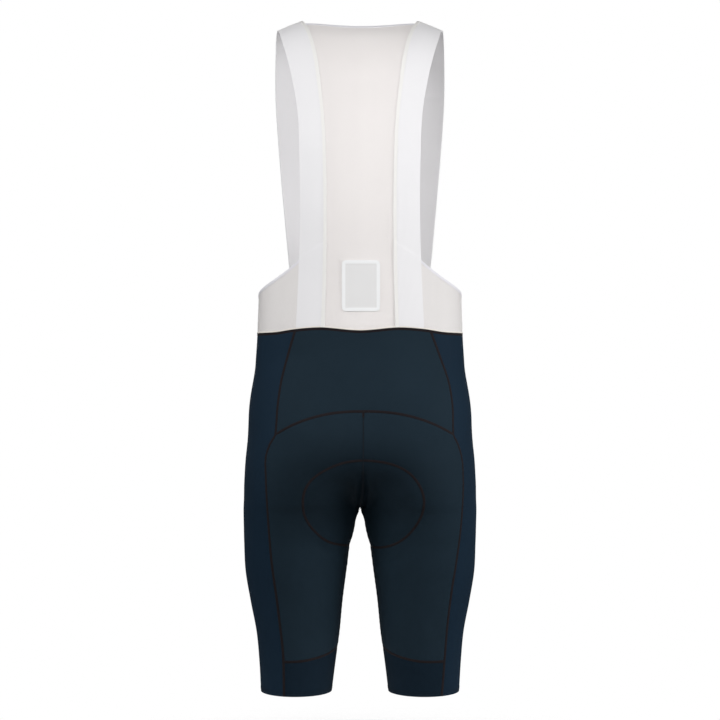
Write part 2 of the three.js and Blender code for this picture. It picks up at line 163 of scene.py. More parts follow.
def on_skin(side, turn, z):
    """A skin point by its turn from straight back and its height. Side -1 and 1 are round a leg."""
    turn, z = np.broadcast_arrays(np.asarray(turn, float), np.asarray(z, float))
    x = spine_x(side, z)
    reach = np.full(turn.shape, float(RAY))
    if side:
        inwards = -np.sin(turn)
        past = PAST_MIDDLE * np.maximum(z + CROTCH, 0)
        facing = inwards > FACING
        reach = np.where(facing, np.minimum((np.abs(x) + past) / np.where(facing, inwards, 1), RAY), RAY)
    way = points_of((side or 1) * np.sin(turn), -np.cos(turn), 0 * z)
    return skin_along(points_of(x, 0 * z, z), way, reach)


def chart_of(side, point, lowest=-math.pi):
    x, y, z = np.moveaxis(point, -1, 0)
    turn = np.arctan2((x - spine_x(side, z)) * (side or 1), -y)
    return np.where(turn < lowest, turn + 2 * math.pi, turn), z


def on_face(x, z, face):
    return skin_along(points_of(x, 0, z), np.array([0, face, 0]), RAY)


# Columns: across, down
waist_back = section([[-52, 421.5], [0, 425.5], [52, 421.5], [87, 423.5], [115, 427.5], [143, 428.5]])


def waist_down(x, y):
    return np.where(np.asarray(y) < 0, waist_back(np.abs(x))[0], WAIST)


# Columns: down, left, right
back_seam = section([
    [421, 87, 94.5],
    [467, 100.5, 111.5],
    [497, 107.6, 121.5],
    [530, 111.8, 126],
    [567, 114.5, 127],
    [580, 122, 133],
    [598, 127.6, 138.5],
    [626, 127.4, 140.6],
    [660, 126, 140],
    [702, 123.6, 137],
    [746, 120, 131],
    [781, 115.2, 125.6],
    [826, 110, 120.4],
    [869, 105.5, 117],
    [928, 104.3, 112.8],
])
front_seam = section([
    [421, 98, 94],
    [500, 121, 114],
    [593, 134, 127],
    [700, 132, 124],
    [800, 121, 113],
    [928, 108, 101],
])


def seam_x(seam, side, down):
    return side * seam(down)[0 if side < 0 else 1]


def seam_point(seam, face, side, down):
    return on_face(seam_x(seam, side, down), -np.asarray(down, float), face)


ARCH_TOP = 535.5
ARCH_END = 567


def arch_point(side, t):
    x = mix(CENTRE_TURN, seam_x(back_seam, side, ARCH_END), t)
    return on_face(x, -mix(ARCH_TOP, ARCH_END, t**2.4), -1)


def patch(side, top, bottom, first, last):
    """Four edges in a chart, filled in between and laid on the skin."""

    def laid(u, v):
        up, low, left, right = top(u), bottom(u), first(v), last(v)
        corners = [top(0 * u), top(0 * u + 1), bottom(0 * u), bottom(0 * u + 1)]
        blend = []
        for k in (0, 1):
            sides = mix(left[k], right[k], u) + mix(up[k], low[k], v)
            ends = mix(mix(corners[0][k], corners[1][k], u), mix(corners[2][k], corners[3][k], u), v)
            blend.append(sides - ends)
        return on_skin(side, *blend)

    return laid


def yoke_seam(chart, side, down):
    waist = waist_down(seam_x(back_seam, side, WAIST), -1)
    rise = np.maximum(ARCH_END - down, 0) / (ARCH_END - WAIST)
    return chart_of(chart, seam_point(back_seam, -1, side, down - rise * (WAIST - waist)))


def yoke_panel():
    def edge(side):
        return lambda v: yoke_seam(0, side, mix(WAIST, ARCH_END, v))

    corners = [on_skin(0, *edge(side)(np.zeros(1)))[0][0] for side in (-1, 1)]

    def top(u):
        x = mix(corners[0], corners[1], u)
        return chart_of(0, on_face(x, -waist_down(x, -1), -1))

    def bottom(u):
        left = arch_point(-1, np.abs(u * 2 - 1))
        right = arch_point(1, np.abs(u * 2 - 1))
        return chart_of(0, np.where((u < 0.5)[..., None], left, right))

    return patch(0, top, bottom, edge(-1), edge(1))


# The pad's stitching, in millimetres across and down: over the seat, and then over the front
PAD_STITCHING = {
    -1: [[3.9, 600.3], [-17, 602.3], [-34, 607.2], [-52, 616.4], [-67, 628.4], [-75, 643.5], [-76.7, 661],
         [-73.6, 680], [-61, 699.1], [-44.5, 713.3], [-27.7, 720]],
    1: [[3.9, 600.3], [26, 601.8], [48, 606.6], [68, 618.2], [81.3, 636.5], [86.6, 655], [84.4, 673],
        [77, 688.2], [65.5, 703.9], [47.9, 717.3], [27, 724.6]],
}
PAD_STITCHING_FRONT = [[40, 636], [26, 624], [10, 618], [-4.5, 617]]
PAD_INSIDE_THIGH = [[90, 725], [118, 717], [140, 697], [146, 666]]  # degrees inwards from straight back, down

# The main creases, pulled across the skin. Each runs from one place to another with a bow,
# and its height is a ridge above zero and a trough below it.
# Columns: face, from across, from down, to across, to down, bow, width, height
CREASES = [
    [-1, -60, 716, -30, 742, 3, 6, -1.5],
    [-1, -34, 726, -14, 752, -2, 5, 1.0],
    [-1, 66, 716, 34, 748, 4, 7, -1.6],
    [-1, 44, 729, 20, 756, 2, 5, 1.0],
    [-1, -66, 700, -30, 716, 3, 8, 1.1],
    [-1, 70, 640, 48, 652, 3, 7, 0.8],
    [-1, 58, 686, 30, 664, -3, 7, 0.9],
    [-1, -14, 640, -44, 622, 3, 8, -0.7],
    [-1, 16, 640, 44, 620, -3, 8, -0.7],
    [-1, -104, 560, -60, 574, 4, 12, 0.9],
    [-1, 110, 566, 70, 582, -4, 12, 0.9],
    [-1, -96, 470, -50, 455, 4, 14, -0.6],
    [-1, 100, 480, 48, 462, -5, 14, 0.7],
    [-1, -118, 780, -70, 770, 5, 12, 0.7],
    [-1, 126, 770, 80, 784, -5, 13, -0.7],
    [-1, -98, 850, -60, 860, -3, 9, 0.6],
    [-1, 108, 846, 72, 838, 3, 9, 0.6],
    [1, -10, 640, -52, 612, 4, 9, 1.6],
    [1, 2, 640, 44, 616, -4, 9, 1.7],
    [1, -22, 664, -66, 650, 5, 9, -1.6],
    [1, 14, 662, 62, 645, -5, 9, 1.4],
    [1, -30, 690, -72, 700, 4, 8, 1.3],
    [1, 26, 686, 74, 704, -6, 8, -1.3],
    [1, -100, 520, -60, 540, 5, 12, 0.8],
    [1, 92, 512, 54, 530, -5, 12, -0.8],
    [1, -110, 760, -70, 775, 4, 11, 0.8],
    [1, 106, 774, 66, 766, -4, 11, 0.8],
    [1, -60, 460, 10, 470, 6, 16, -0.7],
]


def chain_distance(point, chain):
    """The distance to a chain of points, and how far along it the nearest place lies, from 0 to 1."""
    start, way = chain[:-1], np.diff(chain, axis=0)
    length = np.maximum(np.linalg.norm(way, axis=1), 1e-9)
    along = np.einsum("psk,sk->ps", point[:, None] - start, way) / length**2
    along = np.clip(along, 0, 1)
    gap = np.linalg.norm(point[:, None] - start - along[..., None] * way, axis=-1)
    nearest = gap.argmin(axis=1)
    rows = np.arange(len(point))
    travelled = np.concatenate([[0], np.cumsum(length)])
    place = travelled[nearest] + along[rows, nearest] * length[nearest]
    return gap[rows, nearest], place / travelled[-1], travelled[-1]


def near_chain(point, chain, margin):
    """Only the points whose box distance to the chain is small need measuring."""
    low, high = chain.min(axis=0) - margin, chain.max(axis=0) + margin
    return np.flatnonzero(((point > low) & (point < high)).all(axis=1))


crease_chains = []
for face, x0, down0, x1, down1, bow, width, height in CREASES:
    t = np.linspace(0, 1, 15)
    across = np.array([down1 - down0, x0 - x1]) / math.hypot(down1 - down0, x1 - x0)
    x = mix(x0, x1, t) + bow * across[0] * np.sin(math.pi * t)
    down = mix(down0, down1, t) + bow * across[1] * np.sin(math.pi * t)
    crease_chains.append((on_face(x, -down, face), width, height))

# The thighs close up under the crotch, and the seat swells above the pad and tucks in below it
# Columns: height, middle down, reach
THIGHS_MEET = [3.4, 677, 10]
SEAT_SWELLS = [[4.5, 578, 42], [-5.5, 688, 46]]

PAD_POINTS = 170
PAD_SMOOTHING = 25
pad_chains, pad_backs = {}, {}
for side, outline in PAD_STITCHING.items():
    back, thigh, front = (np.array(rows, float) for rows in (outline, PAD_INSIDE_THIGH, PAD_STITCHING_FRONT))
    front[:3, 0] *= side
    back_turn = chart_of(side, on_face(back[:, 0], -back[:, 1], -1))[0]
    front_turn = chart_of(side, on_face(front[:, 0], -front[:, 1], 1))[0]
    turns = np.concatenate([back_turn, -np.radians(thigh[:, 0]), front_turn])
    downs = np.concatenate([back[:, 1], thigh[:, 1], front[:, 1]])
    fine = np.linspace(0, len(turns) - 1, PAD_POINTS)
    turn, down = section(np.column_stack([np.arange(len(turns)), turns, downs]))(fine)
    for _ in range(PAD_SMOOTHING):
        turn[1:-1] += (turn[:-2] - 2 * turn[1:-1] + turn[2:]) / 4
        down[1:-1] += (down[:-2] - 2 * down[1:-1] + down[2:]) / 4
    pad_chains[side] = on_skin(side, turn, -down)
    pad_backs[side] = pad_chains[side][fine <= len(back)]
pad_loop = np.concatenate([pad_backs[-1][::-1], pad_backs[1][1:]])


def inside_loop(point, loop):
    """Whether points seen from behind lie inside a closed outline."""
    x, z = point[:, 0], point[:, 2]
    a, b = loop, np.roll(loop, -1, axis=0)
    crosses = (a[:, 2] > z[:, None]) != (b[:, 2] > z[:, None])
    level = np.where(b[:, 2] == a[:, 2], 1, b[:, 2] - a[:, 2])
    at = a[:, 0] + (z[:, None] - a[:, 2]) / level * (b[:, 0] - a[:, 0])
    return (crosses & (x[:, None] < at)).sum(axis=1) % 2 == 1


seam_chains = []  # filled as the seams are laid out: points, pull and pucker

PAD_RISE, PAD_SLOPE = 1.5, 13  # how far the pad lifts the seat, and how far in from its rim
DENT_REACH = 3.2
PUCKER_STEP, PUCKER_AT, PUCKER_REACH = 8.7, 2.5, 5.5  # along the seam, beside it and how wide
THIGH_GAP = 16
BEHIND_FROM, BEHIND_OVER, BEHIND_HALF = 25, 50, 92  # where the seat swells: how far back and across
UNEVEN = 0.22  # how far the cloth waves in and out between its creases


def drape(point, out):
    """Moves skin points out or in by the creases, the pad behind the seat and the pull of the seams."""
    shape = point.shape
    flat_point, flat_out = point.reshape(-1, 3), out.reshape(-1, 3)
    height = np.zeros(len(flat_point))
    for chain, width, crest in crease_chains:
        near = near_chain(flat_point, chain, 3 * width)
        if len(near):
            gap, place, _ = chain_distance(flat_point[near], chain)
            fade = np.sin(math.pi * np.clip(place, 0.02, 0.98)) ** 0.8
            skew = 0.75 + 0.25 * np.sin(5.3 * place + crest * 9)
            height[near] += crest * fade * skew * np.exp(-((gap / width) ** 2))
            height[near] -= 0.35 * crest * fade * np.exp(-(((gap - 1.9 * width) / width) ** 2))
    near = near_chain(flat_point, pad_loop, 20)
    near = near[flat_point[near, 1] < 0]
    if len(near):
        gap, _, _ = chain_distance(flat_point[near], pad_loop)
        inside = inside_loop(flat_point[near], pad_loop)
        rise = np.clip(gap / PAD_SLOPE, 0, 1)
        height[near] += np.where(inside, PAD_RISE * rise * rise * (3 - 2 * rise), 0)
    for chain, pull, pucker in seam_chains:
        near = near_chain(flat_point, chain, 16)
        if len(near):
            gap, place, length = chain_distance(flat_point[near], chain)
            s = place * length
            beat = 2 * math.pi * s / PUCKER_STEP + 1.7 * np.sin(s / 23.0) + 0.9 * np.sin(s / 9.1 + 1.3)
            height[near] -= pull * np.exp(-((gap / DENT_REACH) ** 2))
            height[near] += pucker * np.sin(beat) * np.exp(-(((gap - PUCKER_AT) / PUCKER_REACH) ** 2))
    x, y, z = flat_point.T
    closing, middle, reach = THIGHS_MEET
    height += closing * np.exp(-(((z + middle) / reach) ** 2) - (x / THIGH_GAP) ** 2)
    behind = np.clip((-y - BEHIND_FROM) / BEHIND_OVER, 0, 1) * np.exp(-((x / BEHIND_HALF) ** 4))
    for swell, middle, reach in SEAT_SWELLS:
        height += swell * behind * np.exp(-(((z + middle) / reach) ** 2))
    height += UNEVEN * np.sin(x / 31 + 1.3 * np.sin(z / 57)) * np.sin(z / 43 + y / 37)
    return (flat_point + flat_out * height[:, None]).reshape(shape)


def grid_of(panel, columns, rows):
    u, v = np.meshgrid(np.linspace(0, 1, columns + 1), np.linspace(0, 1, rows + 1))
    return panel(u, v)


def square_to(grid, away):
    """The way out of a grid of points, on the side that faces away from the form's middle."""
    way = np.cross(np.gradient(grid, axis=1), np.gradient(grid, axis=0))
    way /= np.maximum(np.linalg.norm(way, axis=-1, keepdims=True), 1e-9)
    sign = np.sign((way * (grid - away)).sum(axis=-1).mean())
    return way * sign


def cloth_lengths(grid):
    """Each point's place across and along the cloth, and its width, length and area, in metres."""
    across = np.linalg.norm(np.diff(grid, axis=1), axis=-1)
    along = np.linalg.norm(np.diff(grid, axis=0), axis=-1)
    rows, columns = grid.shape[:2]
    u = np.concatenate([np.zeros((rows, 1)), np.cumsum(across, axis=1)], axis=1)
    u -= u[:, columns // 2][:, None]
    v = np.concatenate([[0], np.cumsum(along.mean(axis=1))])
    first = np.cross(grid[1:, 1:] - grid[:-1, :-1], grid[1:, :-1] - grid[:-1, 1:])
    area = np.linalg.norm(first, axis=-1).sum() / 2
    width, length = across.sum(axis=1).max(), along.sum(axis=0).max()
    place = np.stack(np.broadcast_arrays(u, v[:, None]), axis=-1).reshape(-1, 2)
    return place / 1000, width / 1000, length / 1000, area / 1e6


SMOOTH_UNDER = 48  # degrees; a sharper edge stays an edge


def select_only(piece):
    bpy.ops.object.select_all(action="DESELECT")
    piece.select_set(True)
    bpy.context.view_layer.objects.active = piece


def mesh_piece(name, corners, faces, finish, uv=None):
    """A mesh piece that rides on the garment's one body. Its corners are in millimetres."""
    mesh = bpy.data.meshes.new(name)
    mesh.from_pydata((np.asarray(corners) / 1000).tolist(), [], [list(face) for face in faces])
    if uv is not None:
        layer = mesh.uv_layers.new(name="cloth")
        loops = np.zeros(len(mesh.loops), int)
        mesh.loops.foreach_get("vertex_index", loops)
        layer.data.foreach_set("uv", np.asarray(uv)[loops].astype(np.float32).ravel())
    mesh.polygons.foreach_set("use_smooth", [True] * len(mesh.polygons))
    piece = bpy.data.objects.new(name, mesh)
    bpy.context.collection.objects.link(piece)
    mesh.materials.append(finish)
    select_only(piece)
    bpy.ops.object.shade_smooth_by_angle(angle=math.radians(SMOOTH_UNDER))
    piece.select_set(False)
    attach(piece, "root")
    return piece


def closed_piece(name, parts, finish):
    """A piece of one or more closed bands or threads, with all its faces turned outwards."""
    starts = np.cumsum([0] + [len(corners) for corners, _ in parts])
    faces = [[corner + start for corner in face] for start, (_, part) in zip(starts, parts) for face in part]
    piece = mesh_piece(name, np.concatenate([corners for corners, _ in parts]), faces, finish)
    select_only(piece)
    bpy.ops.object.mode_set(mode="EDIT")
    bpy.ops.mesh.select_all(action="SELECT")
    bpy.ops.mesh.normals_make_consistent(inside=False)
    bpy.ops.object.mode_set(mode="OBJECT")
    piece.select_set(False)
    return piece


def shell(outer, inner):
    """The corners and faces of a closed wall between two grids of points."""
    rows, columns = outer.shape[:2]
    count = rows * columns
    corners = np.concatenate([outer.reshape(-1, 3), inner.reshape(-1, 3)])
    at = np.arange(count).reshape(rows, columns)
    a, b, c, d = at[:-1, :-1], at[:-1, 1:], at[1:, 1:], at[1:, :-1]
    top = np.stack([a, b, c, d], axis=-1).reshape(-1, 4)
    low = np.stack([a, d, c, b], axis=-1).reshape(-1, 4) + count
    rim = np.concatenate([at[0, :-1], at[:-1, -1], at[-1, :0:-1], at[:0:-1, 0]])
    to = np.roll(rim, -1)
    edge = np.stack([rim, rim + count, to + count, to], axis=-1)
    faces = np.concatenate([top, low, edge])
    way = np.cross(outer[1:, 1:] - outer[:-1, :-1], outer[1:, :-1] - outer[:-1, 1:])
    if (way * (outer - inner)[:-1, :-1]).sum() < 0:
        faces = faces[:, ::-1]
    return corners, faces


def cloth_piece(node, panel, columns, rows, wall, finish, lift=0, away=None,
                stands=True):
    """A panel of cloth that stands for its solid and hides that solid, unless it is trim on another."""
    grid = grid_of(panel, columns, rows)
    lift = lift(grid)[..., None] if callable(lift) else lift
    out = out_of_skin(grid) if away is None else square_to(grid, away)
    uv, width, length, area = cloth_lengths(grid)
    outer = drape(grid, out) + out * lift
    piece = mesh_piece(f"{node}_cloth", *shell(outer, outer - out * wall), finish, np.concatenate([uv, uv]))
    if stands:
        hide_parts(node)
    return piece


def sums(operation, swapped=False):
    """A way to write one Math node as a Python sum."""
    def add(self, other):
        return self.finish.math(operation, *((other, self) if swapped else (self, other)))

    return add


class Socket:
    """One socket of a finish, so that sums on it add their Math nodes."""

    def __init__(self, finish, socket):
        self.finish, self.socket = finish, socket

    __add__, __radd__ = sums("ADD"), sums("ADD", True)
    __sub__, __rsub__ = sums("SUBTRACT"), sums("SUBTRACT", True)
    __mul__, __rmul__ = sums("MULTIPLY"), sums("MULTIPLY", True)
    __pow__ = sums("POWER")


class Finish:
    """A cloth's material, or the studio's world, built node by node."""

    def __init__(self, name, world=False):
        self.data = bpy.data.worlds.new(name) if world else bpy.data.materials.new(name)
        self.data.use_nodes = True
        self.tree = self.data.node_tree
        self.tree.nodes.clear()

    def node(self, kind, settings=None, inputs=None):
        node = self.tree.nodes.new(kind)
        for key, value in (settings or {}).items():
            if key == "stops":
                for spare in range(len(value) - 2):
                    node.color_ramp.elements.new(0.5)
                for element, (place, colour) in zip(node.color_ramp.elements, value):
                    element.position, element.color = place, colour
            else:
                setattr(node, key, value)
        for key, value in (inputs or {}).items():
            if isinstance(value, Socket):
                self.tree.links.new(value.socket, node.inputs[key])
            else:
                node.inputs[key].default_value = value
        return node

    def out(self, kind, settings=None, inputs=None, output=0):
        return Socket(self, self.node(kind, settings, inputs).outputs[output])

    def math(self, operation, *values):
        return self.out("ShaderNodeMath", {"operation": operation}, dict(enumerate(values)))

    def clamped(self, value):
        return self.math("MINIMUM", self.math("MAXIMUM", value, 0.0), 1.0)

    def parts_of(self, vector):
        """A vector's three numbers."""
        outputs = self.node("ShaderNodeSeparateXYZ", None, {0: vector}).outputs
        return [Socket(self, output) for output in outputs]

    def cloth_place(self):
        """The place across and along the cloth, in metres."""
        return self.parts_of(self.out("ShaderNodeUVMap", {"uv_map": "cloth"}))[:2]

    def object_place(self):
        return self.out("ShaderNodeTexCoord", output=3)

    def noise(self, scale, detail=2.0, roughness=0.5):
        return self.out("ShaderNodeTexNoise", None, {"Vector": self.object_place(), "Scale": scale,
                                                     "Detail": detail, "Roughness": roughness})

    def soft_step(self, value, start, end, first=0.0, last=1.0):
        return self.out("ShaderNodeMapRange", {"interpolation_type": "SMOOTHSTEP"},
                        {"Value": value, "From Min": start, "From Max": end, "To Min": first, "To Max": last})

    def blend(self, factor, first, second):
        """Two colours mixed by a value."""
        return self.out("ShaderNodeMix", {"data_type": "RGBA"}, {0: factor, 6: first, 7: second}, output=2)

    def tones(self, factor, colour, dark, light):
        """One colour, uneven between a darker and a lighter share of it."""
        return self.blend(factor, tinted(colour, dark), tinted(colour, light))

    def bump(self, height, distance, strength=1.0):
        return self.out("ShaderNodeBump", None,
                        {"Height": height, "Distance": distance, "Strength": strength})

    def shade(self, colour, roughness, normal, **uniform):
        inputs = {"Base Color": colour, "Roughness": roughness, "Normal": normal}
        inputs.update({key.replace("_", " ").title().replace("Ior", "IOR"): value
                       for key, value in uniform.items()})
        shader = self.out("ShaderNodeBsdfPrincipled", None, inputs)
        self.node("ShaderNodeOutputMaterial", None, {"Surface": shader})
        return self.data


def tinted(colour, share):
    return tuple(min(c * share, 1) for c in colour[:3]) + (1,)


# Where the knit is painted darker, a painted shade over the pad zone and the underside of the seat, in metres:
# its middle across and up, and its reach each way
SHADE_MIDDLE_X, SHADE_MIDDLE_Z = -0.012, -0.645
SHADE_REACH_X, SHADE_REACH_Z = 0.135, 0.09
PAINTED_SHADE_TONE = 0.25
MOTTLE = 0.16


def knit(name, colour, wale, course, relief, sheen, roughness=0.6, shine=0.03, painted_shade=0.0):
    """Stretch knit: columns of loops along the cloth, broken into courses, with uneven dye.

    A painted shade can darken the colour in an oval over the pad zone and under the seat, where the seat turns
    downwards.
    """
    finish = Finish(name)
    across, along = finish.cloth_place()
    ribs = finish.math("SINE", across * (2 * math.pi / wale))
    loops = finish.math("SINE", along * (2 * math.pi / course) + ribs * 1.1)
    broad, fine = finish.noise(9.0), finish.noise(900.0, 2.0, 0.6)
    dye = broad * 0.9 + fine * 0.55 + ribs * 0.07 + loops * 0.05 - 0.22
    tone = finish.tones(finish.clamped(dye), colour, 1 - MOTTLE, 1 + MOTTLE)
    # Painted shade: the knit's colour is blended darker in an oval over the pad zone and under the seat
    if painted_shade:
        x, _, z = finish.parts_of(finish.object_place())
        gap = finish.math("SQRT", ((x - SHADE_MIDDLE_X) * (1 / SHADE_REACH_X)) ** 2.0
                          + ((z - SHADE_MIDDLE_Z) * (1 / SHADE_REACH_Z)) ** 2.0)
        tone = finish.blend(finish.soft_step(gap, 0.35, 1.1, painted_shade, 0.0), tone, tinted(colour, PAINTED_SHADE_TONE))
    height = ribs * 0.5 + loops * 0.4 + fine * 0.6
    return finish.shade(tone, roughness - 0.08 + fine * 0.14, finish.bump(height, relief, 0.7),
                        sheen_weight=sheen[0], sheen_roughness=sheen[1], sheen_tint=sheen[2],
                        specular_ior_level=shine)


NAVY = (0.0123, 0.0235, 0.0345, 1)
NAVY_SHEEN = (0.006, 0.5, (0.42, 0.60, 0.85, 1))
# The navy knit carries a half-strength painted shade over the pad zone and under the seat
navy_knit = knit("navy knit", NAVY, 0.00085, 0.0007, 0.00012, NAVY_SHEEN, painted_shade=0.5)

RISE_CURVE = 140
CUFF_TOP = 879.5


def rise_point(face, top, t):
    """The centre seam, down the back or front and then under the form."""
    straight = BOWL_TOP - top
    length = np.asarray(t, float) * (straight + RISE_CURVE)
    lean = -face * CENTRE_TURN
    angle = np.maximum(length - straight, 0) / RISE_CURVE * (math.pi / 2)
    start = points_of(lean * np.cos(angle), 0, -(top + np.minimum(length, straight)))
    return skin_along(start, points_of(0, face * np.cos(angle), -np.sin(angle)))


# Columns: degrees inwards from straight back, down
cuff_seam = section([
    [-60, 879.5],
    [-14, 879.5],
    [10, 878],
    [45, 872],
    [80, 866],
    [130, 870],
    [190, 879.5],
    [260, 879.5],
])


def cuff_down(turn):
    return cuff_seam(np.degrees(-turn))[0]


INSEAM = -math.pi / 2
SIDES = {"left": -1, "right": 1}
SEAM_POINTS = 190
UNDER_CROTCH = 0.8  # the inseam starts this far below the crotch
seams = {}
for name, side in SIDES.items():
    start = float(waist_down(seam_x(back_seam, side, WAIST), -1))
    seams[f"back_{name}"] = seam_point(back_seam, -1, side, np.linspace(start, HEM, SEAM_POINTS))
    seams[f"front_{name}"] = seam_point(front_seam, 1, side, np.linspace(WAIST, HEM, SEAM_POINTS))
    crotch_z = rise_point(-1, ARCH_TOP, 1.0)[2]
    inseam_z = np.linspace(crotch_z - UNDER_CROTCH, -float(cuff_down(INSEAM)), 80)
    seams[f"inseam_{name}"] = on_skin(side, np.full(80, INSEAM), inseam_z)
    ends = [chart_of(side, seam_point(seam, face, side, CUFF_TOP), lowest)[0]
            for seam, face, lowest in ((back_seam, -1, -math.pi), (front_seam, 1, 0))]
    turn = np.linspace(ends[0], ends[1] - 2 * math.pi, 100)
    seams[f"cuff_{name}"] = on_skin(side, turn, -cuff_down(turn))
arch_t = np.linspace(0, 1, 50)
seams["arch"] = np.concatenate([arch_point(-1, arch_t)[::-1], arch_point(1, arch_t)[1:]])
seams["centre_back"] = rise_point(-1, ARCH_TOP, np.linspace(0, 1, 80))
seams["centre_front"] = rise_point(1, WAIST, np.linspace(0, 1, 120))
seams["pad_left"], seams["pad_right"] = pad_chains[-1], pad_chains[1]
waist_turn = np.linspace(0, 2 * math.pi, 241)
waist_flat = on_skin(0, waist_turn, np.full(241, -WAIST))
seams["waist"] = on_skin(0, waist_turn, -waist_down(waist_flat[:, 0], waist_flat[:, 1]))
for name, chain in seams.items():
    pull = 0.25 if name == "centre_back" else 0.45
    pucker = 0.09 if name == "waist" or "pad" in name else 0.17
    seam_chains.append((chain[::2], pull, pucker))
# The seat sinks into the cleft above the crotch
seam_chains.append((rise_point(-1, ARCH_TOP, np.linspace(0.42, 1, 30)), 0.8, 0))
crease_chains.append((rise_point(-1, ARCH_TOP, np.linspace(0.38, 1.0, 15)), 5.5, -5.5))

cloth_piece("back_yoke", yoke_panel(), 84, 54, KNIT, navy_knit)

# Seat panels
# The two panels over the seat and the backs of the thighs, joined at the centre back seam.
# The same navy knit, shaped by the curve of that seam and stretched smooth over the pad.

YOKE_ROWS, SEAT_ROWS, THIGH_ROWS, CUFF_ROWS = 7, 12, 12, 3
THIGH_TOP = 702
LEVELS = [
    (YOKE_ROWS, WAIST, ARCH_END),
    (SEAT_ROWS, ARCH_END, THIGH_TOP),
    (THIGH_ROWS, THIGH_TOP, CUFF_TOP),
    (CUFF_ROWS, CUFF_TOP, HEM),
]


def level_down(levels, v):
    """The height at a way v down a panel that runs over some of the levels."""
    marks = np.cumsum([0] + [rows for rows, _, _ in levels])
    heights = [levels[0][1]] + [bottom for _, _, bottom in levels]
    return np.interp(np.asarray(v) * marks[-1], marks, heights)


def inner_edge(side, face, top, split):
    lowest = 0 if face > 0 else -math.pi
    inseam = 1.5 * math.pi if face > 0 else INSEAM
    start = rise_point(face, top, 1.0)[2] - UNDER_CROTCH

    def edge(v):
        turn, z = chart_of(side, rise_point(face, top, np.clip(v / split, 0, 1)), lowest)
        low = mix(start, -float(cuff_down(INSEAM)), (v - split) / (1 - split))
        return np.where(v <= split, turn, inseam), np.where(v <= split, z, low)

    return edge


CLOSER = 1.45


def closer(panel):
    """Columns stand closer together beside the centre seam."""
    return lambda u, v: panel(u**CLOSER, v)


def seat_panel(side):
    last_turn = chart_of(side, seam_point(back_seam, -1, side, CUFF_TOP))[0]

    def bottom(u):
        turn = mix(INSEAM, last_turn, u)
        return turn, -cuff_down(turn)

    return patch(
        side,
        lambda u: chart_of(side, arch_point(side, u)),
        bottom,
        inner_edge(side, -1, ARCH_TOP, SEAT_ROWS / (SEAT_ROWS + THIGH_ROWS)),
        lambda v: chart_of(side, seam_point(back_seam, -1, side, level_down(LEVELS[1:3], v))),
    )


for name, side in SIDES.items():
    cloth_piece(f"seat_{name}", closer(seat_panel(side)), 64, 128, KNIT, navy_knit)

# Front panels
# The two panels over the stomach and the fronts of the thighs, joined at the centre front seam.
# The same navy knit; the waist is open above them, between the straps.


def front_panel(side):
    last_turn = chart_of(side, seam_point(front_seam, 1, side, CUFF_TOP))[0]

    def top(u):
        x = mix(-CENTRE_TURN, seam_x(front_seam, side, WAIST), u)
        return chart_of(side, on_face(x, np.full(np.shape(x), -WAIST), 1), 0)

    def bottom(u):
        turn = mix(1.5 * math.pi, last_turn, u)
        return turn, -cuff_down(turn - 2 * math.pi)

    return patch(
        side,
        top,
        bottom,
        inner_edge(side, 1, WAIST, (YOKE_ROWS + SEAT_ROWS) / (YOKE_ROWS + SEAT_ROWS + THIGH_ROWS)),
        lambda v: chart_of(side, seam_point(front_seam, 1, side, level_down(LEVELS[:3], v)), 0),
    )


for name, side in SIDES.items():
    cloth_piece(f"front_{name}", closer(front_panel(side)), 52, 180, KNIT, navy_knit)

# Side panels
# One long panel down each side, from the waist to the hem, wrapping from back to front.
# A smoother, bluer knit with a slight sheen.

SIDE_NAVY = (0.0090, 0.0205, 0.0360, 1)
side_knit = knit("side panel knit", SIDE_NAVY, 0.0007, 0.0006, 0.00008,
                 (0.006, 0.45, (0.35, 0.60, 1.0, 1)), 0.56)


def side_panel(side):
    def back_edge(v):
        return yoke_seam(side, side, level_down(LEVELS, v))

    def front_edge(v):
        return chart_of(side, seam_point(front_seam, 1, side, level_down(LEVELS, v)), 0)

    def turn_at(end, u):
        return mix(back_edge(end + 0 * u)[0], front_edge(end + 0 * u)[0], u)

    def top(u):
        level = on_skin(side, turn_at(0, u), -WAIST)
        return turn_at(0, u), -waist_down(level[..., 0], level[..., 1])

    return patch(side, top, lambda u: (turn_at(1, u), -HEM + 0 * u), back_edge, front_edge)


for name, side in SIDES.items():
    cloth_piece(f"side_panel_{name}", side_panel(side), 64, 190, KNIT, side_knit)

# Gripper cuffs
# The band round the back, inside and front of each hem, which holds the leg down.
# Darker matt elastic with a close rib along the leg, and a row of stitching at its hem.

CUFF_NAVY = (0.0080, 0.0165, 0.0270, 1)
gripper = knit("gripper elastic", CUFF_NAVY, 0.0013, 0.0009, 0.00022,
               (0.006, 0.5, (0.5, 0.6, 0.8, 1)), 0.72, shine=0.02)


def cuff_panel(side):
    def edge_turn(seam, face, v, lowest):
        return chart_of(side, seam_point(seam, face, side, mix(CUFF_TOP, HEM, v)), lowest)[0]

    def laid(u, v):
        turn = mix(edge_turn(back_seam, -1, v, -math.pi), edge_turn(front_seam, 1, v, 0) - 2 * math.pi, u)
        return on_skin(side, turn, -mix(cuff_down(turn), HEM, v))

    return laid


for name, side in SIDES.items():
    cloth_piece(f"cuff_{name}", cuff_panel(side), 96, 20, KNIT, gripper)

# Flatlock seams
# Every seam of the shorts is flatlocked: the edges are butted and covered by a narrow band
# of dark thread, laced from side to side. The pad's stitching shows on the seat as another one.

SEAM_WIDTH = 3.8
BAND_STEP = 2.6
LACED_SHARE, LACE_RADIUS, LACE_RISE = 0.86, 0.17, 0.42
THREAD_COLOUR = (0.0122, 0.0094, 0.0112, 1)


